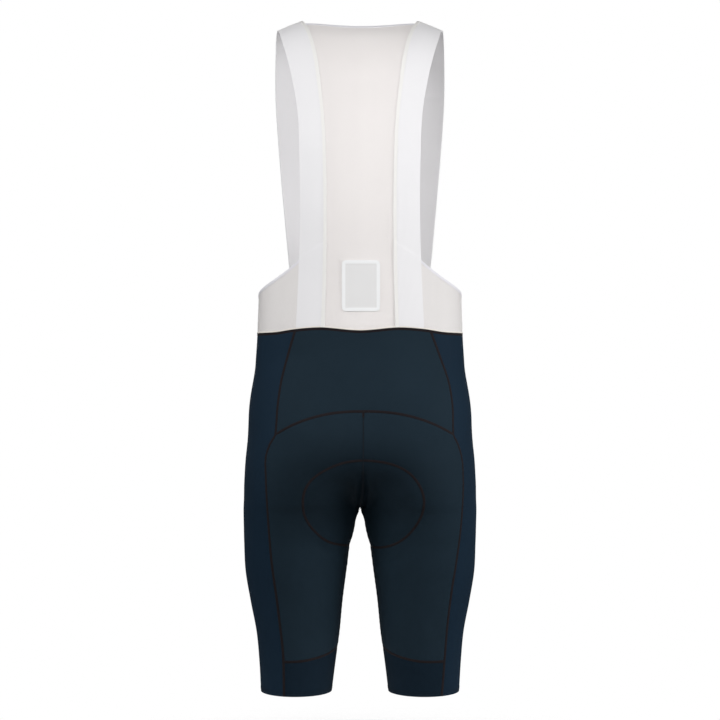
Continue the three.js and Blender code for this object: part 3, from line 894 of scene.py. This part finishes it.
def thread_finish(name, colour, twist):
    finish = Finish(name)
    fuzz, broad = finish.noise(2600.0, 2.0, 0.6), finish.noise(60.0)
    tone = finish.tones(fuzz * 0.6 + broad * 0.4, colour, 0.78, 1.3)
    return finish.shade(tone, 0.74 + fuzz * 0.16, finish.bump(fuzz, twist, 0.6),
                        sheen_weight=0.03, sheen_roughness=0.4, specular_ior_level=0.12)


seam_thread = thread_finish("seam thread", THREAD_COLOUR, 0.00006)


def evenly(chain, step):
    """The same chain with even steps of about this length."""
    length = np.concatenate([[0], np.cumsum(np.linalg.norm(np.diff(chain, axis=0), axis=1))])
    count = max(int(round(length[-1] / step)), 2)
    at = np.linspace(0, length[-1], count + 1)
    return np.stack([np.interp(at, length, chain[:, k]) for k in range(3)], axis=-1)


def unit(way):
    return way / np.maximum(np.linalg.norm(way, axis=1, keepdims=True), 1e-9)


def seam_frame(chain, closed=False):
    """Draped points of a seam, with the way out of the cloth and the way across the seam."""
    out = out_of_skin(chain)
    laid = drape(chain, out)
    along = np.gradient(laid, axis=0)
    if closed:
        along[0] = along[-1] = laid[1] - laid[-2]
    return laid, out, unit(np.cross(along, out))


# Columns: across, out
BAND_PROFILE = [(-0.5, 0.02), (-0.42, 0.34), (0, 0.42), (0.42, 0.34), (0.5, 0.02), (0, -0.3)]


def band_mesh(laid, out, across, width, closed=False, thick=1.0):
    """A low domed band along a chain, closed at its ends or joined end to end."""
    if closed:
        laid, out, across = laid[:-1], out[:-1], across[:-1]
    rings = [laid + across * (place * width) + out * (height * thick) for place, height in BAND_PROFILE]
    corners = np.stack(rings, axis=1).reshape(-1, 3)
    at = np.arange(len(corners)).reshape(-1, len(BAND_PROFILE))
    ahead = np.roll(at, -1, axis=0) if closed else at[1:]
    here = at if closed else at[:-1]
    beside = np.roll(here, -1, axis=1)
    beyond = np.roll(ahead, -1, axis=1)
    faces = np.stack([here, ahead, beyond, beside], axis=-1).reshape(-1, 4).tolist()
    if not closed:
        faces += [at[0].tolist(), at[-1][::-1].tolist()]
    return corners, faces


def lacing_mesh(laid, out, across, width, radius, rise):
    """Thread laced from edge to edge of a band: one corner at each turn."""
    flip = np.where(np.arange(len(laid)) % 2, 0.5, -0.5)[:, None]
    line = laid + across * flip * width + out * rise
    side = unit(np.cross(unit(np.gradient(line, axis=0)), out))
    rings = [line + side * radius, line + out * radius, line - side * radius, line - out * radius]
    corners = np.stack(rings, axis=1).reshape(-1, 3)
    at = np.arange(len(corners)).reshape(-1, 4)
    here, ahead = at[:-1], at[1:]
    faces = np.stack([here, ahead, np.roll(ahead, -1, axis=1), np.roll(here, -1, axis=1)], axis=-1)
    faces = faces.reshape(-1, 4).tolist() + [at[0].tolist(), at[-1][::-1].tolist()]
    return corners, faces


def laced(line, above, step, width, radius, rise):
    """Thread laced along a line. A second line above it tells the way out."""
    line, above = evenly(line, step), evenly(above, step)
    count = min(len(line), len(above))
    line, way = line[:count], unit(above[:count] - line[:count])
    return lacing_mesh(line, way, unit(np.cross(np.gradient(line, axis=0), way)), width, radius, rise)


def seam_piece(name, chain, width, finish, closed=False, thick=1.0, pitch=1.5):
    """A flat band with its lacing, on the cloth."""
    laid, out, across = seam_frame(evenly(chain, BAND_STEP), closed)
    parts = [band_mesh(laid, out, across, width, closed, thick),
             laced(laid, laid + out * 10, pitch, width * LACED_SHARE, LACE_RADIUS, LACE_RISE * thick)]
    closed_piece(name, parts, finish)


SEAM_WIDTHS = {"centre_back": 1.5, "centre_front": 2.6, "pad_left": 3.6, "pad_right": 3.6, "waist": 3.9}
WAIST_SEAM_DROP = 2.2
fine_thread = thread_finish("fine seam thread", (0.0085, 0.0125, 0.0180, 1), 0.00005)
for name, chain in seams.items():
    if name == "waist":
        chain = chain - [0, 0, WAIST_SEAM_DROP]
    thread = fine_thread if name == "centre_back" else seam_thread
    seam_piece(f"seam_{name}", chain, SEAM_WIDTHS.get(name, SEAM_WIDTH), thread, closed=name == "waist")

# The bartack that locks the centre back seam where it meets the arch
bartack = on_face(np.full(12, CENTRE_TURN), -np.linspace(ARCH_TOP - 1.5, ARCH_TOP + 8, 12), -1)
seam_piece("bartack", bartack, 2.8, seam_thread, pitch=0.55, thick=1.5)

# Two rows of stitching hold each hem
hem_thread = thread_finish("hem thread", (0.0130, 0.0190, 0.0290, 1), 0.00005)
for name, side in SIDES.items():
    turn = np.linspace(0, 2 * math.pi, 160)
    for row, down in (("upper", HEM - 6.0), ("lower", HEM - 3.6)):
        ring = evenly(on_skin(side, turn, np.full(160, -down)), 1.5)
        thread = lacing_mesh(*seam_frame(ring, closed=True), 0.9, 0.16, 0.12)
        closed_piece(f"hem_stitching_{row}_{name}", [thread], hem_thread)

# Seat pad
# The foam pad sewn inside the seat and under the crotch, thicker to each side of a middle channel.
# Dark brushed knit over moulded foam, quilted in soft cells.

LINER_GAP = 2.0
PAD_TOP = 600
PAD_FRONT_DROP = 15
PAD_SPLIT = 0.54
PAD_TURN = 0.045

# Columns: along, inwards, down
pad_edge = section([
    [0, 30, 601],
    [0.06, 14, 612],
    [0.14, 6, 630],
    [0.22, 3, 655],
    [0.3, 7, 684],
    [0.38, 22, 708],
    [0.46, 52, 721],
    [0.54, 90, 724],
    [0.62, 122, 716],
    [0.72, 146, 698],
    [0.86, 158, 660],
    [1, 152, 622],
])


def pad_half(side):
    def laid(t, v):
        face = np.where(v < PAD_SPLIT, -1, 1)
        on_rise = np.clip(np.where(v < PAD_SPLIT, v / PAD_SPLIT, (1 - v) / (1 - PAD_SPLIT)), 0, 1)
        back = chart_of(side, rise_point(-1, PAD_TOP, on_rise))
        front = chart_of(side, rise_point(1, PAD_TOP + PAD_FRONT_DROP, on_rise))
        turn = np.where(face < 0, back[0], front[0])
        z = np.where(face < 0, back[1], front[1])
        turn = np.where(turn > 0, turn - 2 * math.pi, turn)
        inwards, down = pad_edge(v)
        outer = -np.radians(inwards) - face * side * PAD_TURN
        t = t**CLOSER
        return on_skin(side, mix(turn, outer, t), mix(z, -down, t))

    return laid


def pad_knit_finish():
    finish = Finish("brushed pad knit")
    fine, broad = finish.noise(1300.0, 3.0, 0.7), finish.noise(24.0)
    tone = finish.blend(fine * 0.7 + broad * 0.3, (0.012, 0.014, 0.017, 1), (0.024, 0.028, 0.034, 1))
    return finish.shade(tone, 0.88 + fine * 0.1, finish.bump(fine, 0.0002, 0.8),
                        sheen_weight=0.4, sheen_roughness=0.5, specular_ior_level=0.2)


pad_v = np.linspace(0, 1, 111)
t_grid, v_grid = np.meshgrid(np.linspace(0, 1, 31), pad_v)
pad_grid = np.concatenate([pad_half(-1)(t_grid, v_grid)[:, :0:-1], pad_half(1)(t_grid, v_grid)], axis=1)
pad_out = out_of_skin(pad_grid)
across_pad = np.abs(np.linspace(-1, 1, pad_grid.shape[1]))[None, :]
along_pad = pad_v[:, None]
rim_fade = np.clip(np.minimum((1 - across_pad) / 0.16, np.minimum(along_pad, 1 - along_pad) / 0.05), 0, 1)
rim_fade = rim_fade * rim_fade * (3 - 2 * rim_fade)
channel = np.exp(-((across_pad / 0.10) ** 2))
cells = np.abs(np.sin(along_pad * math.pi * 9)) ** 0.5 * np.abs(np.sin(across_pad * math.pi * 2.5)) ** 0.4
pad_thick = 1.3 + rim_fade * (1.9 - 1.1 * channel + 1.5 * cells)
pad_outer = drape(pad_grid, pad_out) - pad_out * (KNIT + LINER_GAP)
pad_inner = pad_outer - pad_out * pad_thick[..., None]
pad_uv = np.concatenate([cloth_lengths(pad_grid)[0]] * 2)
pad_piece = mesh_piece("pad_padding", *shell(pad_outer, pad_inner), pad_knit_finish(), pad_uv)
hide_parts("pad")

# Shoulder straps
# Two wide elastic straps, each in one from the back waist over the shoulder to the front waist.
# Smooth white elastic, ribbed along its length, with a narrow tape sewn down its inner edge.

ELASTIC = 1.6
BINDING_LIFT = 0.4
REACH_STEP = 100
STRAP_MIDDLE = 70
# The shoulder line: its height at the neck, and where and how steeply it falls away
SHOULDER_TOP, SHOULDER_SLOPE, SHOULDER_FROM, SHOULDER_ROUND = 9.5, 0.22, 80, 12


def reach_of(down):
    return (down - ARM_LINE) / REACH_STEP + 1


def shoulder_height(x):
    past = np.abs(x) - SHOULDER_FROM
    return SHOULDER_TOP - SHOULDER_SLOPE * (past + np.hypot(past, SHOULDER_ROUND))


def on_torso(x, reach):
    """A point above the waist: reach runs from the back, over the shoulder and down the front."""
    x, reach = np.broadcast_arrays(np.asarray(x, float), np.asarray(reach, float))
    over = np.minimum(np.abs(reach), 1)
    angle = (1 - over) * math.pi / 2
    below = np.maximum(np.abs(reach) - 1, 0) * REACH_STEP
    width, back, front = torso(ARM_LINE + below)
    depth = np.where(reach < 0, -back, front)
    side = (1 - np.clip(np.abs(x) / width, 0, 1) ** TORSO_ROUND) ** (1 / TORSO_ROUND)
    z = -ARM_LINE - below + (shoulder_height(x) + ARM_LINE) * np.sin(angle)
    return points_of(x, depth * side * np.cos(angle), z)


# Columns: reach, outer, inner
strap_edge = section([
    [-4.34, 87, 48],
    [-3.6, 83.5, 46],
    [-2.6, 81, 45],
    [-1.8, 82.3, 46.5],
    [-1.4, 84.5, 49],
    [-1, 91, 53.5],
    [-0.75, 99, 58.5],
    [-0.5, 107, 67],
    [-0.25, 112.5, 77],
    [0, 116, 82],
    [0.5, 119.5, 84],
    [1, 120.5, 83.5],
    [1.6, 117.5, 80.5],
    [2.6, 109.5, 72],
    [3.6, 100, 62],
    [4.4, 90, 52],
])


def waist_reach(x):
    return -reach_of(waist_down(x, -1))


def strap_panel(side):
    def laid(u, v):
        def ends(x):
            return mix(waist_reach(x), reach_of(WAIST), v)

        outer, inner = strap_edge(ends(STRAP_MIDDLE))
        reach = ends(mix(inner, outer, u))
        outer, inner = strap_edge(reach)
        return on_torso(side * mix(inner, outer, u), reach)

    return laid


def white_elastic(name, colour, rib, relief):
    """Woven elastic: fine ribs along its length, crossed by the rubber's even pick."""
    finish = Finish(name)
    across, along = finish.cloth_place()
    ribs = finish.math("SINE", across * (2 * math.pi / rib))
    picks = finish.math("SINE", along * (2 * math.pi / (rib * 0.62)) + ribs * 0.8)
    broad, fine = finish.noise(14.0), finish.noise(1100.0, 2.0, 0.6)
    tone = finish.tones(broad * 0.5 + fine * 0.35 + ribs * 0.06 + 0.08, colour, 0.955, 1.02)
    height = ribs * 0.5 + picks * 0.35 + fine * 0.3
    return finish.shade(tone, 0.62 + fine * 0.16, finish.bump(height, relief, 0.8),
                        sheen_weight=0.2, sheen_roughness=0.4, specular_ior_level=0.3)


# The wing runs on under each strap, up to a slanting edge that shows through
UNDER_TOP, UNDER_SLOPE, UNDER_FROM = -306, 0.60, 47.3
UNDER_LIFT, UNDER_SOFT = 0.55, 2.6


def under_edge(grid):
    below = UNDER_TOP - UNDER_SLOPE * (np.abs(grid[..., 0]) - UNDER_FROM) - grid[..., 2]
    share = np.where(grid[..., 1] < 0, np.clip(below / UNDER_SOFT + 0.5, 0, 1), 0)
    return BINDING_LIFT + UNDER_LIFT * share


elastic = white_elastic("white strap elastic", (0.805, 0.797, 0.812, 1), 0.0016, 0.00012)
edge_tape = white_elastic("white edge tape", (0.83, 0.82, 0.80, 1), 0.0009, 0.0001)
edge_thread = thread_finish("white thread", (0.86, 0.85, 0.83, 1), 0.00005)
UPPER_MIDDLE = np.array([0, 0, -200])
TAPE_SHARE = 0.12
TAPE_WALL = 0.35


def over_edge(grid):
    return under_edge(grid) + TAPE_WALL


for name, side in SIDES.items():
    strap = strap_panel(side)
    edge = cloth_piece(
        f"strap_tape_{name}", lambda u, v: strap(u * TAPE_SHARE, v), 5, 420, TAPE_WALL, edge_tape,
        lift=over_edge, away=UPPER_MIDDLE, stands=False)
    line = grid_of(lambda u, v: strap(TAPE_SHARE * (0.9 + 0.2 * u), v), 2, 420)
    out = square_to(line, UPPER_MIDDLE)
    row = (line + out * over_edge(line)[..., None])[:, 1]
    stitches = closed_piece(f"strap_stitching_{name}", [laced(row, row + out[:, 1] * 5, 1.6, 1.8, 0.11, 0.08)],
                            edge_thread)
    cloth_piece(f"strap_{name}", strap, 18, 420, ELASTIC, elastic,
                lift=under_edge, away=UPPER_MIDDLE)

# Back mesh
# The sheer panel between the straps, from the waist up to the neck.
# Fine white mesh, knitted with small open holes in staggered rows.

SHEER = 1.0
NECK_MIDDLE = -0.39
NECK_SIDE = -0.27
NECK_BINDING_WIDTH = 5.25


def neck_reach(x):
    inner = strap_edge(NECK_SIDE)[1]
    return mix(NECK_MIDDLE, NECK_SIDE, (x / inner) ** 2)


def mesh_point(u, rise, beyond=0.0):
    guess = strap_edge(mix(waist_reach(0.0), NECK_MIDDLE, rise))[1] * (2 * u - 1)
    reach = mix(waist_reach(guess), neck_reach(guess), rise) + beyond
    return on_torso(strap_edge(reach)[1] * (2 * u - 1), reach)


NECK_TAPE = NECK_BINDING_WIDTH / ((shoulder_height(0.0) + ARM_LINE) * math.pi / 2)


def mesh_finish(name, colour, pitch, hole, clear):
    """Fine mesh: staggered rows of small holes between knitted walls."""
    finish = Finish(name)
    across, along = finish.cloth_place()
    columns = finish.math("COSINE", across * (2 * math.pi / pitch))
    net = columns * finish.math("COSINE", along * (math.pi / pitch))
    gaps = finish.soft_step(finish.math("ABSOLUTE", net), hole, hole + 0.12)
    streaks = finish.out("ShaderNodeTexNoise", {"noise_dimensions": "1D"},
                         {"W": across * 55.0, "Scale": 1.0, "Detail": 2.0})
    tone = finish.tones(finish.noise(11.0) * 0.45 + streaks * 0.55, colour, 0.94, 1.03)
    tone = finish.blend(gaps * 0.12, tone, tinted(colour, 0.7))
    return finish.shade(tone, 0.8, finish.bump(1 - gaps, 0.00015, 0.8), alpha=1 - gaps * clear,
                        sheen_weight=0.2, sheen_roughness=0.5, specular_ior_level=0.25)


sheer_mesh = mesh_finish("white sheer mesh", (0.860, 0.823, 0.810, 1), 0.0011, 0.66, 0.5)
tape = white_elastic("white binding tape", (0.77, 0.76, 0.80, 1), 0.0011, 0.0001)
neck_binding = cloth_piece("neck_binding", lambda u, v: mesh_point(u, 1 + 0 * v, -NECK_TAPE * (1 - v)), 60, 4,
                           ELASTIC, tape, lift=BINDING_LIFT, away=UPPER_MIDDLE)
cloth_piece("back_mesh", lambda u, v: mesh_point(u, v, -NECK_TAPE * v), 46, 160, SHEER, sheer_mesh,
            away=UPPER_MIDDLE)

# Side mesh wings
# The low panel at each side, sewn from the back strap round to the front strap over the waist.
# The same kind of mesh, a shade greyer, cut down under the arm.

BINDING_WIDTH = 4.2
ARMHOLE_BACK = 328
ARMHOLE_FRONT = 346

# Columns: turn in degrees, down
armhole = section([
    [46, 327],
    [54, 341],
    [65.5, 357],
    [79, 370],
    [92, 377],
    [108, 380],
    [120, 370],
    [128, 346],
])


def wing_point(side, u, rise, beyond):
    def edge_turn(reach):
        point = on_torso(strap_edge(reach)[0], reach)
        return np.arctan2(point[..., 0], -point[..., 1])

    top_turn = mix(edge_turn(-reach_of(ARMHOLE_BACK)), edge_turn(reach_of(ARMHOLE_FRONT)), u)
    top = armhole(np.degrees(top_turn))[0]
    hip_turn = mix(edge_turn(-reach_of(WAIST)), edge_turn(reach_of(WAIST)), u)
    hip = on_skin(0, side * hip_turn, np.full(np.shape(u), -WAIST))
    down = mix(waist_down(hip[..., 0], hip[..., 1]), top, rise) - beyond
    turn = mix(edge_turn(-reach_of(down)), edge_turn(reach_of(down)), u)
    return on_skin(0, side * turn, -down)


side_mesh = mesh_finish("white side mesh", (0.80, 0.775, 0.765, 1), 0.0011, 0.70, 0.35)
for name, side in SIDES.items():
    binding = cloth_piece(
        f"wing_binding_{name}", lambda u, v: wing_point(side, u, 1 + 0 * v, -BINDING_WIDTH * (1 - v)), 70, 4,
        ELASTIC, tape, lift=BINDING_LIFT, away=UPPER_MIDDLE)
    cloth_piece(
        f"wing_{name}", lambda u, v: wing_point(side, u, v, -BINDING_WIDTH * v), 70, 36,
        SHEER, side_mesh, away=UPPER_MIDDLE)

# Waist tape
# A thin cream edge of the inner waist tape shows as a line just above the waist seam.
# It runs from one front strap round the back to the other.

CREAM_WIDTH, CREAM_LIFT, CREAM_RISE = 1.7, 0.75, 0.5
CREAM_END = 149.5  # degrees round from straight back
cream = thread_finish("cream tape", (0.76, 0.72, 0.66, 1), 0.00006)
turn = np.radians(np.linspace(-CREAM_END, CREAM_END, 240))
level = on_skin(0, turn, np.full(240, -WAIST))
cream_chain = on_skin(0, turn, -waist_down(level[:, 0], level[:, 1]) + CREAM_RISE)
laid, out, across = seam_frame(evenly(cream_chain, BAND_STEP))
tape_edge = band_mesh(laid + out * CREAM_LIFT, out, across, CREAM_WIDTH)
closed_piece("waist_tape_edge", [tape_edge], cream)

# Back label
# A thin smooth patch sealed onto the mesh between the straps, with rounded corners and a plain field.

PATCH = 1.0
LABEL_LEFT, LABEL_RIGHT, LABEL_TOP, LABEL_BOTTOM = -24.5, 27, 331, 400
LABEL_HALF = np.array([(LABEL_RIGHT - LABEL_LEFT) / 2, (LABEL_BOTTOM - LABEL_TOP) / 2])
LABEL_CORNER = 5.5
LABEL_RIM = 4.4
LABEL_LIFT, RIM_LIFT = 1.0, 0.2


def label_panel(u, v):
    """The patch's points, with its corners drawn in to a round."""
    place = np.stack([2 * u - 1, 2 * v - 1], axis=-1) * LABEL_HALF
    past = np.maximum(np.abs(place) - (LABEL_HALF - LABEL_CORNER), 0)
    square, round_ = past.max(axis=-1), np.hypot(past[..., 0], past[..., 1])
    shrink = np.where(round_ > 0, square / np.maximum(round_, 1e-9), 1)[..., None]
    place = np.sign(place) * (np.abs(place) - past + past * shrink)
    middle = (LABEL_LEFT + LABEL_RIGHT) / 2, (LABEL_TOP + LABEL_BOTTOM) / 2
    return on_torso(middle[0] + place[..., 0], -reach_of(middle[1] - place[..., 1]))


def label_lift(grid):
    """The rim stands a little prouder than the field."""
    rows, columns = grid.shape[:2]
    u, v = np.meshgrid(np.linspace(-1, 1, columns), np.linspace(-1, 1, rows))
    from_edge = np.minimum((1 - np.abs(u)) * LABEL_HALF[0], (1 - np.abs(v)) * LABEL_HALF[1])
    return LABEL_LIFT + RIM_LIFT * (1 - np.clip(from_edge - LABEL_RIM, 0, 1))


def film_finish():
    finish = Finish("white film")
    across, along = finish.cloth_place()
    broad, fine = finish.noise(30.0), finish.noise(700.0)
    half_width, half_length = (float(half) / 1000 for half in LABEL_HALF)
    from_side = half_width - finish.math("ABSOLUTE", across)
    from_end = half_length - finish.math("ABSOLUTE", along - half_length)
    inside = finish.math("MINIMUM", from_side, from_end) - LABEL_RIM / 1000
    field = finish.clamped(inside * 2500)
    white = finish.blend(broad, (0.80, 0.81, 0.82, 1), (0.84, 0.845, 0.85, 1))
    grey = finish.blend(broad, (0.70, 0.695, 0.695, 1), (0.735, 0.73, 0.73, 1))
    tone = finish.blend(field, white, grey)
    return finish.shade(tone, 0.42 + fine * 0.12, finish.bump(fine, 0.00004, 0.5), specular_ior_level=0.4)


cloth_piece("back_label", label_panel, 50, 68, PATCH, film_finish(), lift=label_lift,
            away=UPPER_MIDDLE)

# Camera, floor and light
# The camera looks straight at the back. A pale floor fades out under the garment, and soft
# lights stand near the camera, to both sides, above and beyond the garment.

CAMERA_AWAY, CAMERA_HEIGHT = 2.6, -0.466
PICTURE_WIDTH = 1.008  # at the garment's middle
SENSOR = 36
camera_data = bpy.data.cameras.new("camera")
camera_data.lens = SENSOR * CAMERA_AWAY / PICTURE_WIDTH
camera_data.sensor_width = SENSOR
camera = bpy.data.objects.new("camera", camera_data)
camera.location = (0, -CAMERA_AWAY, CAMERA_HEIGHT)
camera.rotation_euler = (math.pi / 2, 0, 0)
bpy.context.collection.objects.link(camera)
bpy.context.scene.camera = camera

FLOOR_HEIGHT, FLOOR_RADIUS = -1.06, 2.0
FADE_FROM, FADE_TO = 0.2, 0.6
bpy.ops.object.select_all(action="DESELECT")
bpy.ops.mesh.primitive_circle_add(vertices=96, radius=FLOOR_RADIUS, fill_type="NGON",
                                  location=(0, 0, FLOOR_HEIGHT))
floor = bpy.context.object
floor.name = "floor"
bpy.ops.object.transform_apply(location=True)
pale = Finish("pale floor")
x, y, _ = pale.parts_of(pale.object_place())
fade = pale.soft_step(pale.math("SQRT", x ** 2.0 + y ** 2.0), FADE_FROM, FADE_TO, 1.0, 0.0)
floor.data.materials.append(pale.shade((0.95, 0.95, 0.95, 1), 0.9, pale.bump(pale.noise(40.0), 0.0002, 0.2),
                                       alpha=fade, specular_ior_level=0.1))

# The studio is white behind everything, and its soft room light comes mostly from above
# Columns: place from below to above, grey
GREYS = [(0.0, 0.04), (0.42, 0.08), (0.60, 0.19), (1.0, 0.32)]
ROOM = [(place, (grey, grey, grey, 1)) for place, grey in GREYS]
room = Finish("studio", world=True)
height = room.parts_of(room.out("ShaderNodeTexCoord"))[2]
ramp = room.out("ShaderNodeValToRGB", {"stops": ROOM}, {0: height * 0.5 + 0.5})
soft = room.out("ShaderNodeBackground", None, {"Color": ramp, "Strength": 1.0})
white = room.out("ShaderNodeBackground", None, {"Color": (1, 1, 1, 1), "Strength": 1.0})
both = room.out("ShaderNodeMixShader", None, {0: room.out("ShaderNodeLightPath"), 1: soft, 2: white})
room.node("ShaderNodeOutputWorld", None, {"Surface": both})
bpy.context.scene.world = room.data


def soft_light(name, place, aim, size, power):
    data = bpy.data.lights.new(name, "AREA")
    data.shape = "RECTANGLE"
    data.size, data.size_y = size
    data.energy = power
    light = bpy.data.objects.new(name, data)
    light.location = place
    light.rotation_euler = (Vector(aim) - Vector(place)).to_track_quat("-Z", "Y").to_euler()
    light.visible_camera = False
    bpy.context.collection.objects.link(light)


soft_light("near_left", (-0.2, -0.9, -0.05), (0, 0, -0.3), (0.3, 0.4), 2.6)
soft_light("near_right", (0.26, -0.9, -0.05), (0, 0, -0.3), (0.3, 0.4), 2.5)
soft_light("right", (1.25, -0.45, -0.38), (0, 0, -0.35), (0.6, 0.8), 10.8)
soft_light("left", (-1.3, -0.7, 0.0), (0, 0, -0.3), (0.6, 0.7), 9)
soft_light("top", (0.1, 0.1, 1.5), (0, 0, -0.3), (1.4, 1.2), 3)
soft_light("rear", (0, 2.2, 0.2), (0, 0, -0.4), (1.6, 1.2), 38)

bpy.context.scene.view_settings.view_transform = "Standard"
